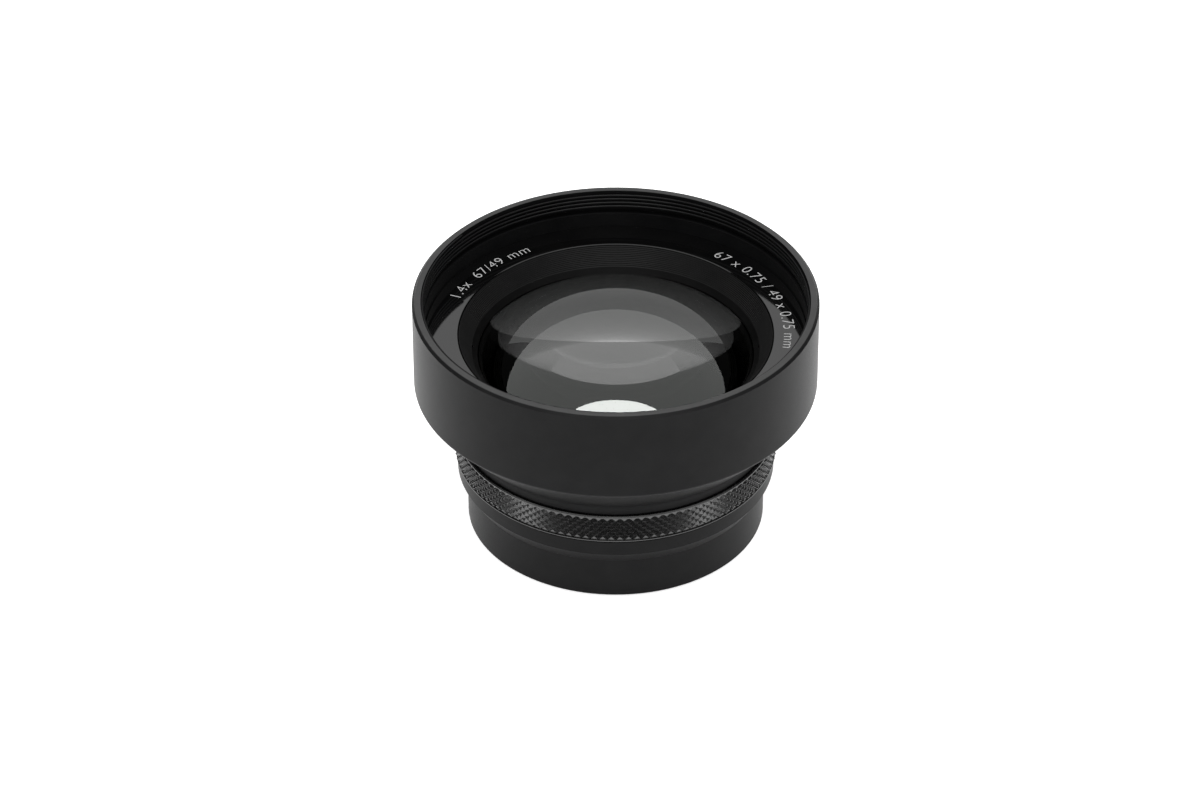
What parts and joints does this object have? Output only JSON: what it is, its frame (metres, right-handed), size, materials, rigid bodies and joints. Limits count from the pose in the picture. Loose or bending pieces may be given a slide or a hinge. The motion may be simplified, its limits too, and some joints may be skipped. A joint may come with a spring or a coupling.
{
  "type": "teleconverter lens",
  "caption": "Short stepped black lens barrel with a wide front drum, a diamond-knurled grip ring, a threaded rear skirt and a large domed front glass.",
  "frame": {"origin": "centre of the rear face, on the optical axis, at the bottom of the bounding box", "axes": "+Z is the optical axis and points to the subject, out of the front rim. +X and +Y are square to it and, because the body is turned, free to choose: flange_screw_1 lies on +X."},
  "size_m": [0.07, 0.07, 0.0445],
  "materials": {
    "satin_black_anodised": "fine bead-blasted black anodising, satin",
    "knurl_black_anodised": "cut diamond knurl under black anodising, semi-gloss",
    "gloss_black_plate": "polished gloss black",
    "matte_black_inside": "matte light-absorbing black",
    "coated_glass": "polished optical glass with a thin anti-reflection coating",
    "screw_steel": "blackened steel",
    "shim_brass": "rolled brass sheet"
  },
  "bodies": {
    "root": {"front_barrel": "satin_black_anodised", "mount_ring": "satin_black_anodised", "grip_ring": "knurl_black_anodised", "name_ring": "gloss_black_plate", "baffle_ring": "matte_black_inside", "front_retaining_ring": "matte_black_inside", "lens_spacer": "matte_black_inside", "doublet_retaining_ring": "matte_black_inside", "inner_barrel": "matte_black_inside", "stop_ring": "matte_black_inside", "rear_cell": "matte_black_inside", "rear_retaining_ring": "matte_black_inside", "front_lens": "coated_glass", "doublet_crown": "coated_glass", "doublet_flint": "coated_glass", "rear_lens": "coated_glass", "flange_screw_1": "screw_steel", "flange_screw_2": "screw_steel", "flange_screw_3": "screw_steel", "cell_shim": "shim_brass"}
  },
  "joints": []
}
